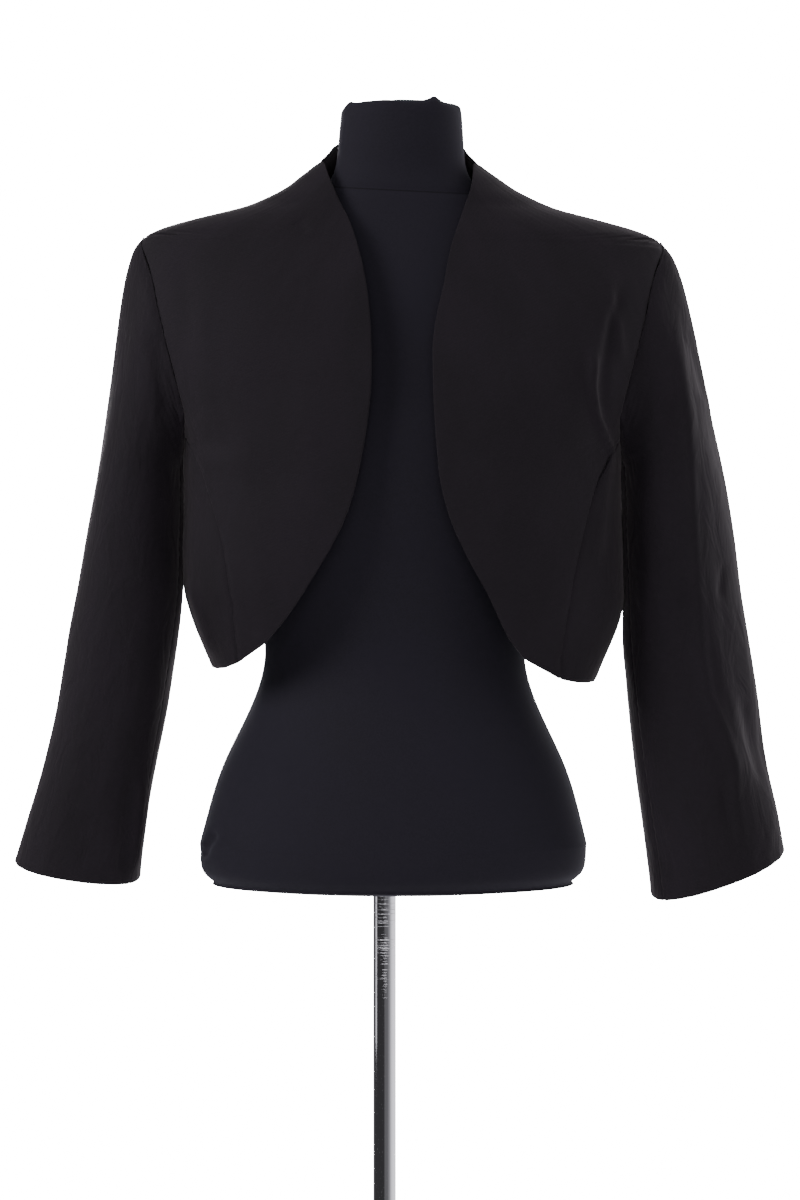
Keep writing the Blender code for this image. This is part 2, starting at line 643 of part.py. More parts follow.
def dress_form(material):
    """The torso and neck as one smooth body with a blind socket for the pole in its underside."""
    lowest = FORM_RINGS[0][0]
    edge_rows = [row[0] for row in FORM_RINGS if row[0] < FORM_EVEN_FROM or row[0] > FORM_EVEN_TO]
    levels = sorted(edge_rows + list(np.linspace(FORM_EVEN_FROM, FORM_EVEN_TO, FORM_ROWS)))
    rings = [round_ring(0.0, SOCKET_RADIUS, lowest + SOCKET_DEPTH), round_ring(0.0, SOCKET_RADIUS, lowest)]
    rings += [form_ring(level) for level in levels]
    vertices = np.concatenate(rings)
    faces = ring_faces(len(rings), ROUND_SIDES)
    faces.append(list(range(ROUND_SIDES)))
    top = (len(rings) - 1) * ROUND_SIDES
    faces.append([top + place for place in range(ROUND_SIDES)])
    return mesh_object("form_torso", vertices, faces, material)


def pole(material):
    bottom = BASE_HEIGHT - BASE_SOCKET_DEPTH + FIT_GAP
    top = FORM_RINGS[0][0] + SOCKET_DEPTH - FIT_GAP
    rings = [round_ring(0.0, POLE_RADIUS, bottom), round_ring(0.0, POLE_RADIUS, top)]
    faces = ring_faces(2, ROUND_SIDES)
    faces.append(list(range(ROUND_SIDES)))
    faces.append([ROUND_SIDES + place for place in range(ROUND_SIDES)])
    return mesh_object("pole", np.concatenate(rings), faces, material)


def base_plate(material):
    rim = BASE_HEIGHT - BASE_EDGE_ROUND
    inset = BASE_RADIUS - BASE_EDGE_ROUND
    corner = BASE_EDGE_ROUND * (1.0 - math.sqrt(0.5))
    rings = [
        round_ring(0.0, BASE_RADIUS, 0.0),
        round_ring(0.0, BASE_RADIUS, rim),
        round_ring(0.0, BASE_RADIUS - corner, BASE_HEIGHT - corner),
        round_ring(0.0, inset, BASE_HEIGHT),
        round_ring(0.0, SOCKET_RADIUS, BASE_HEIGHT),
        round_ring(0.0, SOCKET_RADIUS, BASE_HEIGHT - BASE_SOCKET_DEPTH),
    ]
    faces = ring_faces(len(rings), ROUND_SIDES)
    faces.append(list(range(ROUND_SIDES)))
    last = (len(rings) - 1) * ROUND_SIDES
    faces.append([last + place for place in range(ROUND_SIDES)])
    return mesh_object("base_plate", np.concatenate(rings), faces, material)


def plain_material(name, colour, roughness, metallic):
    material = bpy.data.materials.new(name)
    material.use_nodes = True
    shader = material.node_tree.nodes["Principled BSDF"]
    shader.inputs["Base Color"].default_value = (*colour, 1.0)
    shader.inputs["Roughness"].default_value = roughness
    shader.inputs["Metallic"].default_value = metallic
    return material


def suiting(piece):
    return plain_material("suiting_" + piece, BLACK_SUITING, CLOTH_ROUGHNESS, CLOTH_METALLIC)


for existing in list(bpy.data.objects):
    bpy.data.objects.remove(existing)

BLACK_SUITING = (0.0110, 0.0100, 0.0110)
NAVY_JERSEY = (0.0080, 0.0085, 0.0130)
CHROME = (0.75, 0.75, 0.76)
DARK_STEEL = (0.040, 0.040, 0.045)
CLOTH_ROUGHNESS = 0.85
JERSEY_ROUGHNESS = 0.90
CHROME_ROUGHNESS = 0.12
STEEL_ROUGHNESS = 0.50
CLOTH_METALLIC = 0.0
CHROME_METALLIC = 1.0
STEEL_METALLIC = 0.6

for garment_side in ("left", "right"):
    front_panel(garment_side, suiting("front_" + garment_side))
    side_panel(garment_side, suiting("side_" + garment_side))
    for sleeve_part in ("upper", "under"):
        sleeve_piece(sleeve_part, garment_side, suiting(sleeve_part + "_" + garment_side))
back_panel(suiting("back"))
collar_piece(suiting("collar"))
dress_form(plain_material("jersey", NAVY_JERSEY, JERSEY_ROUGHNESS, CLOTH_METALLIC))
pole(plain_material("chrome", CHROME, CHROME_ROUGHNESS, CHROME_METALLIC))
base_plate(plain_material("dark_steel", DARK_STEEL, STEEL_ROUGHNESS, STEEL_METALLIC))
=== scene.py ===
# %% [markdown]
# # A cropped blazer on a dress form
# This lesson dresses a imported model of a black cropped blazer. It hangs on a limbless dress form, which
# stands on a chromed pole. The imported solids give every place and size. We refine copies of the cloth
# walls, press folds and seams into them, and give each surface a finish made of nodes.

# %% Load the frame
import math

import bmesh
import bpy
import numpy as np
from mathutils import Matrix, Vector
from mathutils.kdtree import KDTree


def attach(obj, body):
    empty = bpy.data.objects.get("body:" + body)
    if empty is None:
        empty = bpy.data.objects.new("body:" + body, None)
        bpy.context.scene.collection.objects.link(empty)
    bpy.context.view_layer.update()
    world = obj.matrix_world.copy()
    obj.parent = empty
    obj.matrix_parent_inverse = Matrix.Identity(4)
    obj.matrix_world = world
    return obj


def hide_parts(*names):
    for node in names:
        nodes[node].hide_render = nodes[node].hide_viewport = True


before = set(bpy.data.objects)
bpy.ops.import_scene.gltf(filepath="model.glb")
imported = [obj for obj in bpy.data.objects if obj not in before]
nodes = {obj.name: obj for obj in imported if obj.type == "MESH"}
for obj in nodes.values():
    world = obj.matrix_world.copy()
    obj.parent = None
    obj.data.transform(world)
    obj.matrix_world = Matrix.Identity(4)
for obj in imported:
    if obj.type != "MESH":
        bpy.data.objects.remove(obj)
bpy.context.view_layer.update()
print("nodes:", sorted(nodes))

# %% [markdown]
# ## The camera
# The photograph looks straight at the fronts from about 2.4 m, level with the lower ribs, so verticals
# stay upright. A long lens from that distance gives the same mild perspective. The lens length follows
# from the height of the view at the pole: distance over height, times the sensor's long side.

# %% Camera
VIEW_DISTANCE = 2.40
VIEW_CENTRE = Vector((0.0136, 0.0, 0.971))
VIEW_HEIGHT = 1.056
SENSOR_LONG_SIDE = 36.0

bpy.ops.object.select_all(action="DESELECT")
camera_place = VIEW_CENTRE - Vector((0.0, VIEW_DISTANCE, 0.0))
bpy.ops.object.camera_add(location=camera_place, rotation=(math.radians(90.0), 0.0, 0.0))
camera = bpy.context.object
camera.data.sensor_width = SENSOR_LONG_SIDE
camera.data.lens = SENSOR_LONG_SIDE * VIEW_DISTANCE / VIEW_HEIGHT
bpy.context.scene.camera = camera
print("lens:", round(camera.data.lens, 1), "mm")

# %% [markdown]
# ## The floor
# A plain pale disc carries the stand. It is kept small, because the chromed pole mirrors it: a wide floor
# would turn the pole white.

# %% Floor
FLOOR_RADIUS = 1.30
FLOOR_SIDES = 96
FLOOR_LEVEL = -0.0005
FLOOR_GREY = (0.80, 0.80, 0.80, 1.0)

bpy.ops.object.select_all(action="DESELECT")
bpy.ops.mesh.primitive_circle_add(vertices=FLOOR_SIDES, radius=FLOOR_RADIUS, fill_type="NGON",
                                  location=(0.0, 0.0, FLOOR_LEVEL))
floor = bpy.context.object
floor.name = "floor"
floor_finish = bpy.data.materials.new("pale_floor")
floor_finish.use_nodes = True
floor_shader = floor_finish.node_tree.nodes["Principled BSDF"]
floor_shader.inputs["Base Color"].default_value = FLOOR_GREY
floor_shader.inputs["Roughness"].default_value = 0.6
floor.data.materials.append(floor_finish)
print("floor:", 2.0 * FLOOR_RADIUS, "m across")

# %% [markdown]
# ## Helpers for nodes
# Every finish is a small graph of nodes: textures, colours and bumps that end in one shader. These helpers
# add a node with its values set, so that each finish reads as a list of what it is made of.

# %% Helpers for nodes
def add_node(tree, kind, **settings):
    """A new node with some inputs and options set. An underscore in an input's name stands for a space."""
    node = tree.new(kind)
    for name, value in settings.items():
        label = name.replace("_", " ")
        if label in node.inputs:
            node.inputs[label].default_value = value
        else:
            setattr(node, name, value)
    return node


def two_tones(tree, dark, pale):
    """A node that goes from a dark colour to a pale one."""
    tone = add_node(tree, "ShaderNodeMix", data_type="RGBA")
    tone.inputs[6].default_value = (*dark, 1.0)
    tone.inputs[7].default_value = (*pale, 1.0)
    return tone


def times_plus(tree, factor, added=0.0):
    """A node that multiplies its first input by a factor and adds its third one."""
    node = add_node(tree, "ShaderNodeMath", operation="MULTIPLY_ADD")
    node.inputs[1].default_value = factor
    node.inputs[2].default_value = added
    return node


def shader_nodes(name):
    """A new material with its nodes, links and Principled shader."""
    material = bpy.data.materials.new(name)
    material.use_nodes = True
    tree = material.node_tree
    return material, tree.nodes, tree.links, tree.nodes["Principled BSDF"]


# %% [markdown]
# ## The room
# Black cloth shows its form only by soft sheen at a low angle, and chrome shows only what stands round it.
# So the room is dim, but for a broad bright window at the right and behind, which lights the outer face of
# the left sleeve and the right edge of the pole. The room could be a picture of a studio. A ramp over the
# direction is enough here, and each of its steps can be tuned. Where the camera looks straight at the room,
# it is paper white.

# %% World
SEEN_WHITE = 24.0
BRIGHT_SIDE = 1.60
BRIGHT_FROM = (0.85, 0.50, 0.0)
ROOM_STEPS = ((0.00, 0.028), (0.22, 0.028), (0.28, 0.09), (0.52, 0.11),
              (0.70, 0.25), (0.87, 0.75), (1.00, 1.00))
LIGHT_TINT = (1.0, 0.955, 1.0)

world = bpy.data.worlds.new("paper_cove")
bpy.context.scene.world = world
world.use_nodes = True
tree = world.node_tree.nodes
wires = world.node_tree.links
tree.clear()
direction = add_node(tree, "ShaderNodeTexCoord")
facing = add_node(tree, "ShaderNodeVectorMath", operation="DOT_PRODUCT")
facing.inputs[1].default_value = BRIGHT_FROM
turned = add_node(tree, "ShaderNodeMapRange", From_Min=-1.0)
window = add_node(tree, "ShaderNodeValToRGB")
steps = window.color_ramp.elements
while len(steps) < len(ROOM_STEPS):
    steps.new(1.0)
for step, (place, share) in zip(steps, ROOM_STEPS):
    step.position = place
    step.color = (share, share, share, 1.0)
strength = add_node(tree, "ShaderNodeMath", operation="MULTIPLY")
strength.inputs[1].default_value = BRIGHT_SIDE
room = add_node(tree, "ShaderNodeBackground", Color=(*LIGHT_TINT, 1.0))
seen = add_node(tree, "ShaderNodeBackground", Color=(1.0, 1.0, 1.0, 1.0), Strength=SEEN_WHITE)
ray = add_node(tree, "ShaderNodeLightPath")
mix = add_node(tree, "ShaderNodeMixShader")
world_out = add_node(tree, "ShaderNodeOutputWorld")
wires.new(direction.outputs["Generated"], facing.inputs[0])
wires.new(facing.outputs["Value"], turned.inputs["Value"])
wires.new(turned.outputs["Result"], window.inputs["Fac"])
wires.new(window.outputs["Color"], strength.inputs[0])
wires.new(strength.outputs["Value"], room.inputs["Strength"])
wires.new(ray.outputs["Is Camera Ray"], mix.inputs[0])
wires.new(room.outputs[0], mix.inputs[1])
wires.new(seen.outputs[0], mix.inputs[2])
wires.new(mix.outputs[0], world_out.inputs["Surface"])
print("room light: from", round(BRIGHT_SIDE * ROOM_STEPS[0][1], 3), "to", BRIGHT_SIDE)

# %% [markdown]
# ## Soft boxes
# As in a studio, a large soft box stands high on the left and gives the cloth its main light. A weaker
# one fills from behind the camera, and two more stand beside and behind. Each row of the table is one box:
# where it stands, where it aims, its size and its power.

# %% Soft boxes
LIGHT_COLUMNS = ("name", "place", "aim", "width", "height", "watts")
LIGHTS = (
    ("key_left", (-2.45, -1.25, 2.60), (0.0, 0.0, 1.05), 1.4, 1.6, 60.0),
    ("front_fill", (0.0, -3.20, 1.30), (0.0, 0.0, 1.00), 2.0, 1.6, 29.0),
    ("left_box", (-1.90, 0.10, 1.15), (-0.20, 0.0, 1.00), 0.7, 1.8, 4.0),
    ("back_box", (-0.60, 2.60, 1.90), (0.0, 0.0, 1.00), 1.6, 1.2, 60.0),
)
for row in LIGHTS:
    light = dict(zip(LIGHT_COLUMNS, row))
    bpy.ops.object.light_add(type="AREA", location=light["place"])
    lamp = bpy.context.object
    lamp.name = light["name"]
    lamp.data.shape = "RECTANGLE"
    lamp.data.size = light["width"]
    lamp.data.size_y = light["height"]
    lamp.data.energy = light["watts"]
    lamp.data.color = LIGHT_TINT
    aim = Vector(light["aim"]) - Vector(light["place"])
    lamp.rotation_euler = aim.to_track_quat("-Z", "Y").to_euler()
print("soft boxes:", len(LIGHTS))

# %% [markdown]
# ## Black suiting
# The cloth is a fine matt twill, nearly black with a trace of purple. Up close it is not flat: the
# threads cross in steep diagonal lines, the tone is a little patchy, small wrinkles run along the
# sleeves, and the nap lifts a pale sheen where light grazes it. A wave texture draws the threads and noise
# draws the rest. They run on each piece's own UV map, which is in metres, so that the weave keeps one pitch
# on all of them.

# %% Suiting
TWILL_PITCH = 0.0020106
TWILL_TURN = math.radians(62.0)
WAVE_RATE = 20.0
TWILL_TONE = 0.20
TWILL_RISE = 0.6
THREAD_DEPTH = 0.00020
PATCH_FROM = 0.32
PATCH_TO = 0.68
WRINKLE_STRETCH = (1.0, 0.4, 1.0)
WRINKLE_DEPTH = 0.0040
BODY_CRUMPLE = 0.15
SLEEVE_CRUMPLE = 0.42
DARK_THREAD = (0.0087, 0.0067, 0.0098)
PALE_THREAD = (0.0140, 0.0110, 0.0156)
NAP_TINT = (0.85, 0.80, 0.82, 1.0)


def suiting(name, crumple):
    """Twill with a patchy tone and a nap. More crumple gives deeper wrinkles."""
    material, tree, wires, shader = shader_nodes(name)
    place = add_node(tree, "ShaderNodeUVMap", uv_map="cloth")
    turn = add_node(tree, "ShaderNodeMapping", Rotation=(0.0, 0.0, TWILL_TURN))
    # At scale 1 a wave texture turns by WAVE_RATE radians a metre, and a line of the twill is one full turn.
    twill_scale = 2.0 * math.pi / (WAVE_RATE * TWILL_PITCH)
    twill = add_node(tree, "ShaderNodeTexWave", Scale=twill_scale, Distortion=0.6, Detail=2.0)
    grain = add_node(tree, "ShaderNodeTexNoise", Scale=900.0, Detail=3.0, Roughness=0.6)
    long_way = add_node(tree, "ShaderNodeMapping", Scale=WRINKLE_STRETCH)
    cloud = add_node(tree, "ShaderNodeTexNoise", Scale=24.0, Detail=3.0, Roughness=0.5)
    patch = add_node(tree, "ShaderNodeMapRange", From_Min=PATCH_FROM, From_Max=PATCH_TO)
    share = times_plus(tree, TWILL_TONE)
    tone = two_tones(tree, DARK_THREAD, PALE_THREAD)
    wrinkle = add_node(tree, "ShaderNodeTexNoise", Scale=60.0, Detail=3.0, Roughness=0.55, Distortion=0.8)
    soft = add_node(tree, "ShaderNodeBump", Strength=crumple, Distance=WRINKLE_DEPTH)
    height = times_plus(tree, TWILL_RISE)
    bump = add_node(tree, "ShaderNodeBump", Strength=0.30, Distance=THREAD_DEPTH)
    rough = add_node(tree, "ShaderNodeMapRange", To_Min=0.70, To_Max=0.88)
    wires.new(place.outputs["UV"], turn.inputs["Vector"])
    wires.new(place.outputs["UV"], grain.inputs["Vector"])
    wires.new(place.outputs["UV"], long_way.inputs["Vector"])
    wires.new(turn.outputs["Vector"], twill.inputs["Vector"])
    wires.new(long_way.outputs["Vector"], cloud.inputs["Vector"])
    wires.new(long_way.outputs["Vector"], wrinkle.inputs["Vector"])
    wires.new(cloud.outputs["Fac"], patch.inputs["Value"])
    wires.new(twill.outputs["Fac"], share.inputs[0])
    wires.new(patch.outputs["Result"], share.inputs[2])
    wires.new(share.outputs[0], tone.inputs[0])
    wires.new(tone.outputs[2], shader.inputs["Base Color"])
    wires.new(twill.outputs["Fac"], height.inputs[0])
    wires.new(grain.outputs["Fac"], height.inputs[2])
    wires.new(height.outputs[0], bump.inputs["Height"])
    wires.new(wrinkle.outputs["Fac"], soft.inputs["Height"])
    wires.new(soft.outputs["Normal"], bump.inputs["Normal"])
    wires.new(bump.outputs["Normal"], shader.inputs["Normal"])
    wires.new(cloud.outputs["Fac"], rough.inputs["Value"])
    wires.new(rough.outputs["Result"], shader.inputs["Roughness"])
    shader.inputs["Specular IOR Level"].default_value = 0.25
    shader.inputs["Sheen Weight"].default_value = 0.13
    shader.inputs["Sheen Roughness"].default_value = 0.45
    shader.inputs["Sheen Tint"].default_value = NAP_TINT
    return material


body_suiting = suiting("body_suiting", BODY_CRUMPLE)
sleeve_suiting = suiting("sleeve_suiting", SLEEVE_CRUMPLE)
print("made", body_suiting.name, "and", sleeve_suiting.name)

# %% [markdown]
# ## Cloth walls
# Each panel of the blazer is a stiff tailored cloth about 2 mm thick with its lining. A cloth simulation
# could drape flat panels over the form, but would not hang them just as the photograph shows. The solid
# already has the panel's true shape, in flat facets. So we copy it, weld its loose triangles, pair them into
# quads, and subdivide with creased rims: the wall turns smooth and its cut edges stay crisp.

# %% Refine a copy of a solid
RIM_ANGLE = math.radians(48.0)
RIM_CREASE = 0.85
WELD = 0.00002
QUAD_FACE_ANGLE = math.radians(40.0)
QUAD_SHAPE_ANGLE = math.radians(50.0)
FIT_ROUNDS = 5
COARSE_LEVELS = 2
FINE_LEVELS = 3


def smooth_step(share):
    """0 up to 0, 1 from 1 on, and a soft rise between."""
    share = np.clip(share, 0.0, 1.0)
    return share * share * (3.0 - 2.0 * share)


def in_mm(metres):
    return round(float(metres) * 1000.0, 2)


def make_active(piece):
    bpy.ops.object.select_all(action="DESELECT")
    piece.select_set(True)
    bpy.context.view_layer.objects.active = piece


def points_of(mesh):
    values = np.empty(len(mesh.vertices) * 3)
    mesh.vertices.foreach_get("co", values)
    return values.reshape(-1, 3)


def set_points(mesh, points):
    mesh.vertices.foreach_set("co", points.ravel())
    mesh.update()


def pass_through_corners(piece, rounds):
    """Move the corners until the smooth surface passes through the places where they were."""
    wanted = points_of(piece.data)
    for _ in range(rounds):
        shown = piece.evaluated_get(bpy.context.evaluated_depsgraph_get())
        smooth = points_of(shown.to_mesh())[:len(wanted)]
        shown.to_mesh_clear()
        set_points(piece.data, points_of(piece.data) + wanted - smooth)


def refined_copy(node, levels, crease=RIM_CREASE, fit_rounds=FIT_ROUNDS):
    """A smooth, finer copy of a solid, which stands where the solid stands."""
    piece = bpy.data.objects.new(node + "_dressed", nodes[node].data.copy())
    bpy.context.scene.collection.objects.link(piece)
    piece.data.materials.clear()
    make_active(piece)
    bpy.ops.object.mode_set(mode="EDIT")
    bpy.ops.mesh.select_all(action="SELECT")
    bpy.ops.mesh.remove_doubles(threshold=WELD)
    bpy.ops.mesh.tris_convert_to_quads(face_threshold=QUAD_FACE_ANGLE, shape_threshold=QUAD_SHAPE_ANGLE)
    bpy.ops.mesh.select_all(action="DESELECT")
    bpy.ops.mesh.edges_select_sharp(sharpness=RIM_ANGLE)
    bpy.ops.transform.edge_crease(value=crease)
    bpy.ops.object.mode_set(mode="OBJECT")
    smoother = piece.modifiers.new("smooth_wall", "SUBSURF")
    smoother.levels = levels
    smoother.render_levels = levels
    pass_through_corners(piece, fit_rounds)
    bpy.ops.object.modifier_apply(modifier=smoother.name)
    bpy.ops.object.shade_smooth()
    return piece


CLOTH_NODES = ("front_left", "front_right", "side_left", "side_right", "back", "collar",
               "sleeve_upper_left", "sleeve_upper_right", "sleeve_under_left", "sleeve_under_right")
FINE_NODES = ("front_left", "front_right", "back", "sleeve_upper_left", "sleeve_upper_right")
cloth = {}
for node in CLOTH_NODES:
    cloth[node] = refined_copy(node, FINE_LEVELS if node in FINE_NODES else COARSE_LEVELS)
    print(node, "faces:", len(cloth[node].data.polygons))

# %% [markdown]
# ## Pressing the panels smooth
# A tailor steams the panels over the form until no facet or ripple is left. A smoothing pass does the
# same here. The rims keep still, so the seams stay where they were cut, and the pass acts fully a little
# way inside them.

# %% Steam and smooth
STEAM_ROUNDS = 40
STEAM_FACTOR = 0.5
STEAM_EDGE = 0.004


def rim_points(piece):
    """Places of the corners on the sharp edges round a panel."""
    mesh = bmesh.new()
    mesh.from_mesh(piece.data)
    sharp = [edge for edge in mesh.edges if edge.calc_face_angle(0.0) > RIM_ANGLE]
    rim = {corner.index for edge in sharp for corner in edge.verts}
    mesh.free()
    return points_of(piece.data)[sorted(rim)]


def distance_to(places, points):
    """How far each point lies from the nearest of some places."""
    tree = KDTree(len(places))
    for index, place in enumerate(places):
        tree.insert(place, index)
    tree.balance()
    return np.array([tree.find(point)[2] for point in points])


def steam(piece):
    """Smooth a panel inside its rims, and give the largest move."""
    before = points_of(piece.data)
    share = smooth_step(distance_to(rim_points(piece), before) / STEAM_EDGE)
    group = piece.vertex_groups.new(name="inside")
    for index, weight in enumerate(share):
        group.add([index], float(weight), "REPLACE")
    make_active(piece)
    smoother = piece.modifiers.new("steam", "SMOOTH")
    smoother.factor = STEAM_FACTOR
    smoother.iterations = STEAM_ROUNDS
    smoother.vertex_group = group.name
    bpy.ops.object.modifier_apply(modifier=smoother.name)
    piece.vertex_groups.clear()
    return np.linalg.norm(points_of(piece.data) - before, axis=1).max()


for node in ("front_left", "front_right", "back"):
    print(node, "steamed, moved up to", in_mm(steam(cloth[node])), "mm")

# %% [markdown]
# ## Two ways to unroll the cloth
# The weave is drawn on flat cloth, and a fold has to know which way is out. On the body we measure along
# the girth, from the front centre or, on the back panel, from the back centre. On a sleeve we measure round
# its own centre line, from the outer side towards the front. Both give a distance across in metres, to go
# with the height, and the level direction that points out of the cloth.

# %% Unroll
BODY_CENTRE = 0.0155
BODY_HALF_WIDTH = 0.20
BODY_HALF_DEPTH = 0.115
SLEEVE_RADIUS = 0.052
TINY = 1e-9
SLEEVE_COLUMNS = ("level", "centre", "half_width", "half_depth", "middle")
SLEEVE_LINES = {
    "right": ((1.0852, -0.2149, 0.0367, 0.066, 0.003), (0.9796, -0.2239, 0.0446, 0.060, -0.003),
              (0.8740, -0.2386, 0.0468, 0.052, -0.013), (0.7380, -0.2672, 0.0535, 0.044, -0.022)),
    "left": ((1.0852, 0.2528, 0.0438, 0.066, 0.003), (0.9796, 0.2613, 0.0496, 0.060, -0.003),
             (0.8740, 0.2707, 0.0552, 0.052, -0.013), (0.7355, 0.2902, 0.0570, 0.044, -0.022)),
}


def sleeve_side(node):
    return "left" if node.endswith("left") else "right"


def sleeve_frame(side, heights):
    """Centre, half width, half depth and middle of a sleeve at some heights."""
    rows = np.array(SLEEVE_LINES[side])[::-1]
    return [np.interp(heights, rows[:, 0], rows[:, column]) for column in range(1, len(SLEEVE_COLUMNS))]


def unrolled(node, points):
    """Distance across, in metres, and the level outward direction of each point."""
    x, y, z = points.T
    if node.startswith("sleeve"):
        side = sleeve_side(node)
        sign = 1.0 if side == "left" else -1.0
        centre, half_width, half_depth, middle = sleeve_frame(side, z)
        across = sign * (x - centre) / half_width
        ahead = (middle - y) / half_depth
        angle = np.arctan2(ahead, across)
        if node.startswith("sleeve_under"):
            angle = np.where(angle < 0.0, angle + 2.0 * math.pi, angle)
        away = np.stack([sign * np.cos(angle), -np.sin(angle), np.zeros_like(x)], axis=1)
        return angle * SLEEVE_RADIUS, away
    across = (x - BODY_CENTRE) / BODY_HALF_WIDTH
    ahead = -y / BODY_HALF_DEPTH
    angle = np.arctan2(across, -ahead if node == "back" else ahead)
    away = np.stack([across / BODY_HALF_WIDTH, -ahead / BODY_HALF_DEPTH, np.zeros_like(x)], axis=1)
    away /= np.linalg.norm(away, axis=1, keepdims=True) + TINY
    return angle * (BODY_HALF_WIDTH + BODY_HALF_DEPTH) / 2.0, away


def outward(node, points):
    """The level outward direction of each point."""
    return unrolled(node, points)[1]


def seen_from(view, node, points, away):
    """How far each point faces a view, 1 full on and 0 edge on, and its place across that view."""
    if view == "front":
        return -away[:, 1], points[:, 0]
    if view == "back":
        return away[:, 1], points[:, 0]
    inward = -1.0 if sleeve_side(node) == "left" else 1.0
    return inward * away[:, 0], points[:, 1]


def add_cloth_map(node, piece):
    """A UV map in metres, so the weave keeps its pitch. Gives the map's width."""
    points = points_of(piece.data)
    across, _ = unrolled(node, points)
    layer = piece.data.uv_layers.new(name="cloth")
    corner_points = np.empty(len(piece.data.loops), dtype=np.int32)
    piece.data.loops.foreach_get("vertex_index", corner_points)
    layer.data.foreach_set("uv", np.stack([across, points[:, 2]], axis=1)[corner_points].ravel())
    return np.ptp(across)


for node, piece in cloth.items():
    for other in list(piece.data.uv_layers):
        piece.data.uv_layers.remove(other)
    print(node, "map width:", round(add_cloth_map(node, piece), 3), "m")
    piece.data.materials.append(sleeve_suiting if node.startswith("sleeve") else body_suiting)

# %% [markdown]
# ## Folds
# Worn on a form, the fronts hang smooth, with one drag fold that runs from the shoulder to the left side
# seam. The left sleeve has a soft ridge all down its outer front, and both sleeves break a little at the
# elbow and the cuff. Folds could be sculpted by hand, but a table of them can be read and changed. Each
# fold is a line drawn as it is seen from the front, from the back or from the inner side of a sleeve, with
# a width and a height: a ridge is positive, a trough negative.

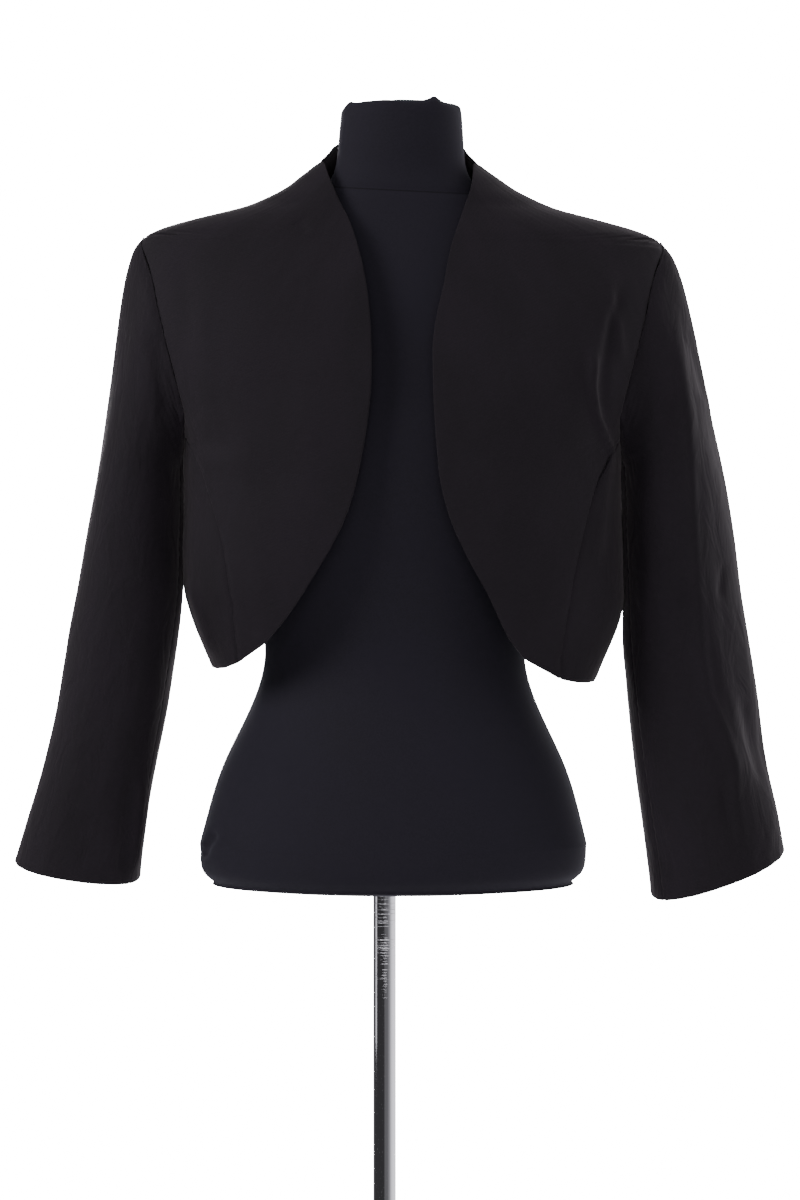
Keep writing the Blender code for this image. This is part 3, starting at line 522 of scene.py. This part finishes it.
# %% Fold table
FOLD_COLUMNS = ("pieces", "view", "width", "height", "line")
FOLDS = (
    # the drag fold of the left front, and the hollow beside it
    (("front_left",), "front", 0.0075, 0.0022,
     ((0.197, 1.262), (0.188, 1.222), (0.180, 1.190), (0.177, 1.150))),
    (("front_left",), "front", 0.0036, 0.0038,
     ((0.177, 1.190), (0.177, 1.150), (0.181, 1.126), (0.190, 1.107), (0.203, 1.090))),
    (("front_left",), "front", 0.0050, -0.0022,
     ((0.203, 1.245), (0.194, 1.205), (0.186, 1.168), (0.187, 1.140), (0.194, 1.115))),
    (("front_left",), "front", 0.0045, 0.0016, ((0.192, 1.240), (0.199, 1.205), (0.203, 1.170))),
    (("side_left",), "front", 0.0055, 0.0030,
     ((0.195, 1.115), (0.190, 1.085), (0.185, 1.050), (0.179, 0.995))),
    (("front_left",), "front", 0.0220, -0.0018, ((0.150, 1.205), (0.140, 1.130), (0.135, 1.050))),
    (("front_left",), "front", 0.0260, -0.0012, ((0.085, 1.240), (0.092, 1.140), (0.110, 1.020))),
    # the right front: puckers at the armhole, a faint drape from the bust, the break beside the hem
    (("front_right",), "front", 0.0090, -0.0010, ((-0.176, 1.270), (-0.168, 1.225), (-0.163, 1.180))),
    (("front_right",), "front", 0.0110, 0.0012, ((-0.160, 1.230), (-0.153, 1.165), (-0.150, 1.100))),
    (("front_right",), "front", 0.0240, -0.0018, ((-0.082, 1.210), (-0.095, 1.120), (-0.090, 1.040))),
    (("front_right",), "front", 0.0060, -0.0012, ((-0.077, 1.298), (-0.066, 1.284))),
    (("side_right",), "front", 0.0045, 0.0030, ((-0.169, 0.990), (-0.156, 0.950), (-0.146, 0.917))),
    # the left sleeve: the long ridge, small breaks on its lit face, the elbow and the cuff
    (("sleeve_upper_left",), "front", 0.0065, 0.0044,
     ((0.2480, 1.248), (0.2540, 1.200), (0.2570, 1.161), (0.2600, 1.122), (0.2620, 1.086), (0.2632, 1.049),
      (0.2650, 1.019), (0.2685, 0.960), (0.2715, 0.920), (0.2760, 0.890), (0.2900, 0.858), (0.2990, 0.832),
      (0.3000, 0.795), (0.3070, 0.763), (0.3200, 0.732))),
    (("sleeve_upper_left",), "front", 0.0140, -0.0058,
     ((0.2780, 1.160), (0.2830, 1.086), (0.2890, 1.019), (0.2980, 0.950), (0.3080, 0.890), (0.3270, 0.835),
      (0.3350, 0.780))),
    (("sleeve_upper_left",), "front", 0.0050, -0.0022, ((0.2653, 1.198), (0.2792, 1.144))),
    (("sleeve_upper_left",), "front", 0.0040, -0.0016, ((0.2965, 1.003), (0.2920, 0.972))),
    (("sleeve_upper_left",), "front", 0.0080, 0.0015, ((0.2255, 1.108), (0.2472, 1.161))),
    (("sleeve_upper_left",), "front", 0.0060, -0.0018, ((0.2970, 0.835), (0.2930, 0.800), (0.3000, 0.765))),
    (("sleeve_upper_left",), "front", 0.0060, -0.0015, ((0.3120, 0.893), (0.3290, 0.807))),
    (("sleeve_upper_left",), "front", 0.0130, -0.0016, ((0.2210, 0.938), (0.2720, 0.972))),
    (("sleeve_upper_left", "sleeve_under_left"), "inner", 0.0300, 0.0016,
     ((-0.012, 1.060), (-0.012, 0.985), (-0.012, 0.900))),
    # the right sleeve: hollow below the armhole, the elbow, the cuff and its back edge
    (("sleeve_upper_right",), "front", 0.0100, -0.0022, ((-0.196, 1.205), (-0.180, 1.120))),
    (("sleeve_upper_right",), "front", 0.0140, -0.0018, ((-0.280, 0.938), (-0.205, 0.885))),
    (("sleeve_upper_right", "sleeve_under_right"), "front", 0.0050, 0.0034,
     ((-0.208, 0.825), (-0.212, 0.780), (-0.218, 0.730))),
    (("sleeve_upper_right", "sleeve_under_right"), "front", 0.0055, -0.0036,
     ((-0.217, 0.825), (-0.221, 0.780), (-0.226, 0.730))),
    (("sleeve_upper_right",), "front", 0.0100, -0.0015, ((-0.256, 0.790), (-0.252, 0.742))),
    # the back and the backs of the sleeves, like those in front
    (("back",), "back", 0.0200, 0.0022, ((-0.120, 1.200), (-0.105, 1.100), (-0.110, 0.990))),
    (("back",), "back", 0.0200, 0.0020, ((0.150, 1.190), (0.135, 1.090), (0.130, 0.985))),
    (("back",), "back", 0.0160, -0.0018, ((-0.060, 1.060), (0.020, 1.045), (0.090, 1.058))),
    (("back",), "back", 0.0120, -0.0014, ((-0.040, 1.000), (0.050, 0.990))),
    (("back",), "back", 0.0048, 0.0028, ((0.204, 1.240), (0.190, 1.192), (0.184, 1.150), (0.190, 1.110))),
    (("back",), "back", 0.0055, -0.0020, ((0.196, 1.215), (0.192, 1.170), (0.196, 1.125))),
    (("back",), "back", 0.0052, 0.0024, ((-0.180, 1.228), (-0.164, 1.180), (-0.158, 1.135))),
    (("back",), "back", 0.0060, -0.0018, ((0.070, 1.020), (0.120, 1.006), (0.160, 1.014))),
    (("back",), "back", 0.0055, -0.0016, ((-0.125, 0.985), (-0.085, 0.972), (-0.040, 0.978))),
    (("sleeve_upper_left", "sleeve_under_left"), "back", 0.0080, -0.0026, ((0.230, 0.980), (0.290, 0.955))),
    (("sleeve_upper_left", "sleeve_under_left"), "back", 0.0070, -0.0020, ((0.240, 0.930), (0.300, 0.940))),
    (("sleeve_upper_right", "sleeve_under_right"), "back", 0.0080, -0.0026,
     ((-0.210, 0.985), (-0.265, 0.955))),
    (("sleeve_upper_right", "sleeve_under_right"), "back", 0.0070, -0.0020,
     ((-0.215, 0.935), (-0.275, 0.945))),
)
print("folds in the table:", len(FOLDS))

# %% [markdown]
# A pressed fold is highest on its line and dies away beside it and at its ends. So the wall moves outward
# by the height times a soft bell across the line, and the move fades where the cloth turns away from the
# view in which the line was drawn.

# %% Press the folds
FOLD_END_SHARE = 0.22
TURN_FADE = 0.30


def fold_share(across, heights, line, width):
    """1 on the fold's line, falling softly to nothing beside it and at its two ends."""
    line = np.array(line)
    steps = np.diff(line, axis=0)
    lengths = np.linalg.norm(steps, axis=1)
    starts = np.concatenate([[0.0], np.cumsum(lengths)]) / lengths.sum()
    nearest = np.full(len(across), np.inf)
    place = np.zeros(len(across))
    for row, step in enumerate(steps):
        along = ((across - line[row, 0]) * step[0] + (heights - line[row, 1]) * step[1]) / lengths[row] ** 2
        along = np.clip(along, 0.0, 1.0)
        gap = np.hypot(across - line[row, 0] - along * step[0], heights - line[row, 1] - along * step[1])
        closer = gap < nearest
        nearest = np.where(closer, gap, nearest)
        place = np.where(closer, starts[row] + along * (starts[row + 1] - starts[row]), place)
    ends = smooth_step(place / FOLD_END_SHARE) * smooth_step((1.0 - place) / FOLD_END_SHARE)
    return np.exp(-(nearest / width) ** 2) * ends


def press_folds(node, piece):
    """Move a piece's wall by all its folds. Gives their number and the moves."""
    points = points_of(piece.data)
    away = outward(node, points)
    rise = np.zeros(len(points))
    count = 0
    for row in FOLDS:
        fold = dict(zip(FOLD_COLUMNS, row))
        if node in fold["pieces"]:
            facing, across = seen_from(fold["view"], node, points, away)
            share = fold_share(across, points[:, 2], fold["line"], fold["width"])
            rise += fold["height"] * share * smooth_step(facing / TURN_FADE)
            count += 1
    set_points(piece.data, points + away * rise[:, None])
    return count, rise


for node, piece in cloth.items():
    count, rise = press_folds(node, piece)
    print(node, "folds:", count, " from", in_mm(rise.min()), "to", in_mm(rise.max()), "mm")

# %% [markdown]
# ## Seams
# Two panels are sewn with right sides together and pressed open, so each wall turns in at the seam line
# and leaves a fine groove. Free edges, such as the fronts, the hem and the cuffs, are only turned and
# pressed. A rim that lies close to another panel's rim is a seam, so we find the seams by distance and sink
# the cloth beside them.

# %% Press the seams
SEAM_NEAR = 0.0022
SEAM_REACH = 0.0030
SEAM_SINK = 0.00055

rims = {node: rim_points(piece) for node, piece in cloth.items()}
for node, piece in cloth.items():
    others = np.concatenate([rim for name, rim in rims.items() if name != node])
    sewn = rims[node][distance_to(others, rims[node]) < SEAM_NEAR]
    points = points_of(piece.data)
    away = outward(node, points)
    sink = SEAM_SINK * np.exp(-(distance_to(sewn, points) / SEAM_REACH) ** 2)
    set_points(piece.data, points - away * sink[:, None])
    print(node, "seam points:", len(sewn))

# %% [markdown]
# ## Setting the sleeves in
# The sleeve's head is eased into the armhole and sewn there, with the seam turned into the sleeve. The
# solids keep a narrow gap at that seam. Here the sleeve's rim is drawn in under the edge of the body, and
# a soft roll stands up just outside the seam round the top of the shoulder.

# %% Armhole seam
ARMHOLE_LOWEST = 1.09
ARMHOLE_NEAR = 0.009
ARMHOLE_REACH = 0.009
DRAW_IN_AT_TIP = 0.0009
DRAW_IN_UNDER_ARM = 0.0027
DRAW_IN_BEHIND = 0.0011
BEHIND_FROM = 0.030
ARMHOLE_HEIGHT = 0.1846
UNDERARM_LEVEL = 1.1030
ROLL_PLACE = 0.008
ROLL_WIDTH = 0.006
ROLL_HEIGHT = 0.0012
ROLL_FROM = 1.20
ROLL_FULL = 1.26


def set_in(node):
    """Draw the rim of a sleeve's head in under the body, and raise the roll beside it."""
    piece = cloth[node]
    side = sleeve_side(node)
    body = np.concatenate([rim_points(cloth[name]) for name in ("front_" + side, "side_" + side, "back")])
    rim = rim_points(piece)
    rim = rim[(rim[:, 2] > ARMHOLE_LOWEST) & (distance_to(body, rim) < ARMHOLE_NEAR)]
    points = points_of(piece.data)
    gaps = distance_to(rim, points)
    away = outward(node, points)
    inward = -1.0 if side == "left" else 1.0
    roll = ROLL_HEIGHT * np.exp(-((gaps - ROLL_PLACE) / ROLL_WIDTH) ** 2)
    roll *= smooth_step((points[:, 2] - ROLL_FROM) / (ROLL_FULL - ROLL_FROM))
    low = np.clip(1.0 - (points[:, 2] - UNDERARM_LEVEL) / ARMHOLE_HEIGHT, 0.0, 1.0)
    draw = DRAW_IN_AT_TIP + (DRAW_IN_UNDER_ARM - DRAW_IN_AT_TIP) * low
    draw += DRAW_IN_BEHIND * smooth_step(points[:, 1] / BEHIND_FROM)
    points[:, 0] += inward * draw * np.exp(-(gaps / ARMHOLE_REACH) ** 2)
    set_points(piece.data, points + away * roll[:, None])
    return len(rim)


for node in CLOTH_NODES:
    if node.startswith("sleeve"):
        print(node, "rim points drawn in:", set_in(node))

# %% [markdown]
# ## The dress form
# The form is a padded torso in dark jersey, whole and smooth under the jacket. The solid's rings are
# rounded by subdivision as the cloth was, with soft edges. The knit and the groove of the neck seam are
# too fine for the mesh, so they are in the finish: the knit as a bump, the groove as painted shade.

# %% Form
FORM_FIT_ROUNDS = 2
FORM_DARK = (0.0082, 0.0074, 0.0118)
FORM_PALE = (0.0156, 0.0141, 0.0220)
# The neck seam's groove is painted shade: along a thin line the jersey's colour is darkened by half.
NECK_SEAM_LEVEL = 1.3325
NECK_SEAM_TILT = (0.05, -0.16, 1.0)
NECK_SEAM_HALF = 0.0006
NECK_SEAM_PAINTED_SHADE = -0.50
KNIT_TONE = 0.9
KNIT_DEPTH = 0.0002
JERSEY_TINT = (0.70, 0.75, 0.90, 1.0)


def jersey(name):
    """Matt knit, a little patchy, with painted shade: a dark line along the groove of the neck seam."""
    material, tree, wires, shader = shader_nodes(name)
    place = add_node(tree, "ShaderNodeTexCoord")
    knit = add_node(tree, "ShaderNodeTexNoise", Scale=700.0, Detail=2.0)
    cloud = add_node(tree, "ShaderNodeTexNoise", Scale=14.0, Detail=4.0)
    share = times_plus(tree, KNIT_TONE)
    tone = two_tones(tree, FORM_DARK, FORM_PALE)
    # painted shade: a thin dark line in the colour along the neck seam's groove
    level = add_node(tree, "ShaderNodeVectorMath", operation="DOT_PRODUCT")
    level.inputs[1].default_value = NECK_SEAM_TILT
    seam = add_node(tree, "ShaderNodeMath", operation="COMPARE")
    seam.inputs[1].default_value = NECK_SEAM_LEVEL
    seam.inputs[2].default_value = NECK_SEAM_HALF
    shade = times_plus(tree, NECK_SEAM_PAINTED_SHADE, 1.0)
    sewn = add_node(tree, "ShaderNodeVectorMath", operation="SCALE")
    bump = add_node(tree, "ShaderNodeBump", Strength=0.25, Distance=KNIT_DEPTH)
    rough = add_node(tree, "ShaderNodeMapRange", To_Min=0.75, To_Max=0.92)
    wires.new(place.outputs["Object"], knit.inputs["Vector"])
    wires.new(place.outputs["Object"], cloud.inputs["Vector"])
    wires.new(place.outputs["Object"], level.inputs[0])
    wires.new(knit.outputs["Fac"], share.inputs[0])
    wires.new(cloud.outputs["Fac"], share.inputs[2])
    wires.new(share.outputs[0], tone.inputs[0])
    wires.new(level.outputs["Value"], seam.inputs[0])
    wires.new(seam.outputs[0], shade.inputs[0])
    wires.new(tone.outputs[2], sewn.inputs[0])
    wires.new(shade.outputs[0], sewn.inputs["Scale"])
    wires.new(sewn.outputs["Vector"], shader.inputs["Base Color"])
    wires.new(knit.outputs["Fac"], bump.inputs["Height"])
    wires.new(bump.outputs["Normal"], shader.inputs["Normal"])
    wires.new(cloud.outputs["Fac"], rough.inputs["Value"])
    wires.new(rough.outputs["Result"], shader.inputs["Roughness"])
    shader.inputs["Specular IOR Level"].default_value = 0.25
    shader.inputs["Sheen Weight"].default_value = 0.08
    shader.inputs["Sheen Roughness"].default_value = 0.5
    shader.inputs["Sheen Tint"].default_value = JERSEY_TINT
    return material


form = refined_copy("form_torso", FINE_LEVELS, crease=0.0, fit_rounds=FORM_FIT_ROUNDS)
form.data.materials.append(jersey("dark_jersey"))
print("form faces:", len(form.data.polygons))

# %% [markdown]
# The cover is one tube of jersey with a seam round the neck, which dips a little at the front. It is
# gathered over the neck block, so three small tucks stand up on its top, and a dart ends at the lower
# right side. Each is a soft bell that presses the surface in or lifts it.

# %% Form cover
NECK_SEAM_DEPTH = 0.0010
NECK_SEAM_WIDTH = 0.0024
TUCK_COLUMNS = ("x", "y", "reach", "height")
TUCKS = ((-0.0310, -0.018, 0.006, 0.0022), (0.0430, -0.032, 0.006, 0.0042), (0.0100, 0.020, 0.008, 0.0020))
TUCK_FLOOR = 1.396
DART = ((-0.1440, 0.772), (-0.1530, 0.760), (-0.1600, 0.744))
DART_WIDTH = 0.0036
DART_DEPTH = 0.0032

points = points_of(form.data)
x, y, z = points.T
away = np.stack([x, y, np.zeros_like(x)], axis=1)
away /= np.linalg.norm(away, axis=1, keepdims=True) + TINY
above_seam = points @ np.array(NECK_SEAM_TILT) - NECK_SEAM_LEVEL
sunk = NECK_SEAM_DEPTH * np.exp(-(above_seam / NECK_SEAM_WIDTH) ** 2)
sunk += DART_DEPTH * fold_share(x, z, DART, DART_WIDTH) * (y < 0.0)
lift = np.zeros_like(x)
for row in TUCKS:
    tuck = dict(zip(TUCK_COLUMNS, row))
    gap = np.hypot(x - tuck["x"], y - tuck["y"])
    lift += tuck["height"] * np.exp(-(gap / tuck["reach"]) ** 2) * (z > TUCK_FLOOR)
points -= away * sunk[:, None]
points[:, 2] += lift
set_points(form.data, points)
print("cover sunk up to", in_mm(sunk.max()), "mm, tucks up to", in_mm(lift.max()), "mm")

# %% [markdown]
# ## The pole
# The pole is chromed steel tube, with fine rings rubbed into it where the form has slid up and down. It is
# a turned part, so a cylinder as high as the solid gives its shape, and the rings are a bump squashed flat
# along the pole.

# %% Pole
POLE_RADIUS = 0.010
POLE_SIDES = 64
CHROME = (0.72, 0.74, 0.77, 1.0)
RINGS_FROM = 0.60
RINGS_TO = 0.70
RING_STRETCH = (12.0, 12.0, 800.0)
RING_DEPTH = 0.0003
EDGE_ANGLE = math.radians(40.0)


def box_of(node):
    """The low and the high corner of a solid's box."""
    corners = [nodes[node].matrix_world @ Vector(corner) for corner in nodes[node].bound_box]
    low = Vector([min(corner[axis] for corner in corners) for axis in range(3)])
    high = Vector([max(corner[axis] for corner in corners) for axis in range(3)])
    return low, high


def upright_cylinder(name, node, radius, sides):
    """A cylinder on the pole's axis, between the lowest and the highest point of a solid."""
    low, high = box_of(node)
    bpy.ops.object.select_all(action="DESELECT")
    bpy.ops.mesh.primitive_cylinder_add(vertices=sides, radius=radius, depth=high.z - low.z,
                                        location=(0.0, 0.0, (high.z + low.z) / 2.0))
    piece = bpy.context.object
    piece.name = name
    bpy.ops.object.transform_apply(location=True, rotation=True, scale=True)
    print(name, "from", round(low.z, 4), "to", round(high.z, 4), "m, radius", round(radius, 4), "m")
    return piece


def chrome(name):
    """Polished metal, with rubbed rings that fade in between two heights."""
    material, tree, wires, shader = shader_nodes(name)
    place = add_node(tree, "ShaderNodeTexCoord")
    parts = add_node(tree, "ShaderNodeSeparateXYZ")
    worn = add_node(tree, "ShaderNodeMapRange", interpolation_type="SMOOTHSTEP",
                    From_Min=RINGS_FROM, From_Max=RINGS_TO)
    squash = add_node(tree, "ShaderNodeMapping", Scale=RING_STRETCH)
    rings = add_node(tree, "ShaderNodeTexNoise", Scale=1.0, Detail=4.0, Roughness=0.7)
    marks = add_node(tree, "ShaderNodeMapRange", From_Min=0.56, From_Max=0.70)
    scratch = add_node(tree, "ShaderNodeMath", operation="MULTIPLY")
    bump = add_node(tree, "ShaderNodeBump", Strength=0.5, Distance=RING_DEPTH)
    rough = add_node(tree, "ShaderNodeMapRange", To_Min=0.03, To_Max=0.12)
    wires.new(place.outputs["Object"], parts.inputs[0])
    wires.new(parts.outputs["Z"], worn.inputs["Value"])
    wires.new(place.outputs["Object"], squash.inputs["Vector"])
    wires.new(squash.outputs["Vector"], rings.inputs["Vector"])
    wires.new(rings.outputs["Fac"], marks.inputs["Value"])
    wires.new(marks.outputs["Result"], scratch.inputs[0])
    wires.new(worn.outputs["Result"], scratch.inputs[1])
    wires.new(scratch.outputs[0], bump.inputs["Height"])
    wires.new(bump.outputs["Normal"], shader.inputs["Normal"])
    wires.new(rings.outputs["Fac"], rough.inputs["Value"])
    wires.new(rough.outputs["Result"], shader.inputs["Roughness"])
    shader.inputs["Base Color"].default_value = CHROME
    shader.inputs["Metallic"].default_value = 1.0
    return material


pole = upright_cylinder("pole_tube", "pole", POLE_RADIUS, POLE_SIDES)
bpy.ops.object.shade_smooth_by_angle(angle=EDGE_ANGLE)
pole.data.materials.append(chrome("chromed_tube"))

# %% [markdown]
# ## The base plate
# A heavy steel disc keeps the stand from tipping. A cylinder gives its shape, and a small bevel rounds the
# rim, because a maker breaks a sharp edge before painting. The dark satin paint has the fine grain of
# sprayed powder.

# %% Base plate
BASE_SIDES = 128
BASE_EDGE_ROUND = 0.0012
BASE_EDGE_STEPS = 3
PAINT_DARK = (0.032, 0.032, 0.036)
PAINT_PALE = (0.048, 0.048, 0.053)
PAINT_DEPTH = 0.0002


def satin_paint(name):
    """Dark powder paint on steel: a fine orange-peel grain under a satin gloss."""
    material, tree, wires, shader = shader_nodes(name)
    place = add_node(tree, "ShaderNodeTexCoord")
    grain = add_node(tree, "ShaderNodeTexNoise", Scale=900.0, Detail=2.0)
    cloud = add_node(tree, "ShaderNodeTexNoise", Scale=22.0, Detail=4.0)
    tone = two_tones(tree, PAINT_DARK, PAINT_PALE)
    bump = add_node(tree, "ShaderNodeBump", Strength=0.2, Distance=PAINT_DEPTH)
    rough = add_node(tree, "ShaderNodeMapRange", To_Min=0.38, To_Max=0.55)
    wires.new(place.outputs["Object"], grain.inputs["Vector"])
    wires.new(place.outputs["Object"], cloud.inputs["Vector"])
    wires.new(cloud.outputs["Fac"], tone.inputs[0])
    wires.new(tone.outputs[2], shader.inputs["Base Color"])
    wires.new(grain.outputs["Fac"], bump.inputs["Height"])
    wires.new(bump.outputs["Normal"], shader.inputs["Normal"])
    wires.new(cloud.outputs["Fac"], rough.inputs["Value"])
    wires.new(rough.outputs["Result"], shader.inputs["Roughness"])
    return material


base_low, base_high = box_of("base_plate")
base = upright_cylinder("base_disc", "base_plate", (base_high.x - base_low.x) / 2.0, BASE_SIDES)
rounding = base.modifiers.new("edge", "BEVEL")
rounding.width = BASE_EDGE_ROUND
rounding.segments = BASE_EDGE_STEPS
bpy.ops.object.modifier_apply(modifier=rounding.name)
bpy.ops.object.shade_smooth_by_angle(angle=EDGE_ANGLE)
base.data.materials.append(satin_paint("satin_steel"))

# %% [markdown]
# ## Attaching the pieces
# Every piece rides on the one body and stands for its solid.


for node, piece in cloth.items():
    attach(piece, "root")
    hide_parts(node)
hard_pieces = ((form, "form_torso", "jersey"), (pole, "pole", "chrome"), (base, "base_plate", "steel"))
for piece, node, slot in hard_pieces:
    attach(piece, "root")
    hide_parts(node)
